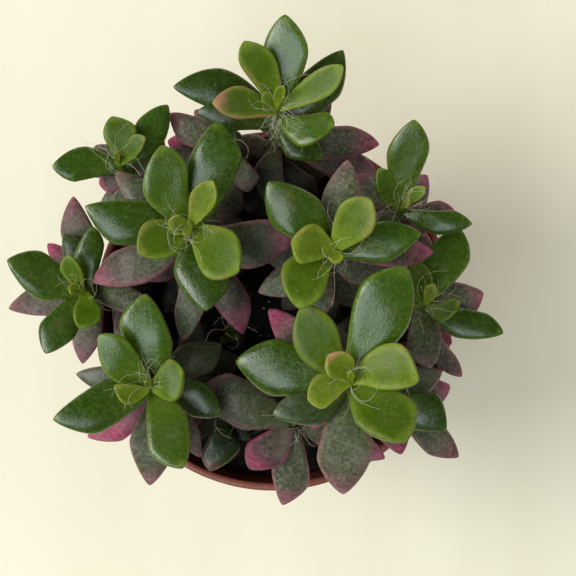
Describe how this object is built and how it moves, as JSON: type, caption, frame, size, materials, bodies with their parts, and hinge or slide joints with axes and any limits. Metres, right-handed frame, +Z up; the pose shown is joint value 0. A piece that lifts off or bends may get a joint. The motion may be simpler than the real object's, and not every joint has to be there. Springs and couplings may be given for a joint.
{
  "type": "potted sand rose",
  "caption": "Succulent of fleshy-leaved rosettes on short stems, rooted in peat in a round thin-walled nursery pot that stands on its flat base.",
  "frame": {"origin": "centre of the pot's flat underside, on the surface that it stands on", "axes": "+Z up along the pot's axis; +X to the right and +Y to the top as the plant is seen in the picture from above"},
  "size_m": [0.1102, 0.1045, 0.1119],
  "materials": {
    "pot_plastic": "reddish brown moulded plastic with a soft sheen",
    "peat": null,
    "leaf_skin": "smooth fleshy leaf skin, lime green when young, dark green and then bronze and mauve with age, magenta beneath",
    "axil_hair": "fine pale curling hairs in the leaf axils"
  },
  "bodies": {
    "root": {"pot": "pot_plastic", "soil": "peat", "shoot_back": "leaf_skin", "shoot_back_left": "leaf_skin", "shoot_left_centre": "leaf_skin", "shoot_left": "leaf_skin", "shoot_front_left": "leaf_skin", "shoot_centre_right": "leaf_skin", "shoot_right_back": "leaf_skin", "shoot_right": "leaf_skin", "shoot_front_right": "leaf_skin", "shoot_low_front": "leaf_skin", "shoot_low_right": "leaf_skin", "shoot_low_back": "leaf_skin", "shoot_low_left_front": "leaf_skin", "shoot_low_centre": "leaf_skin"}
  },
  "joints": []
}
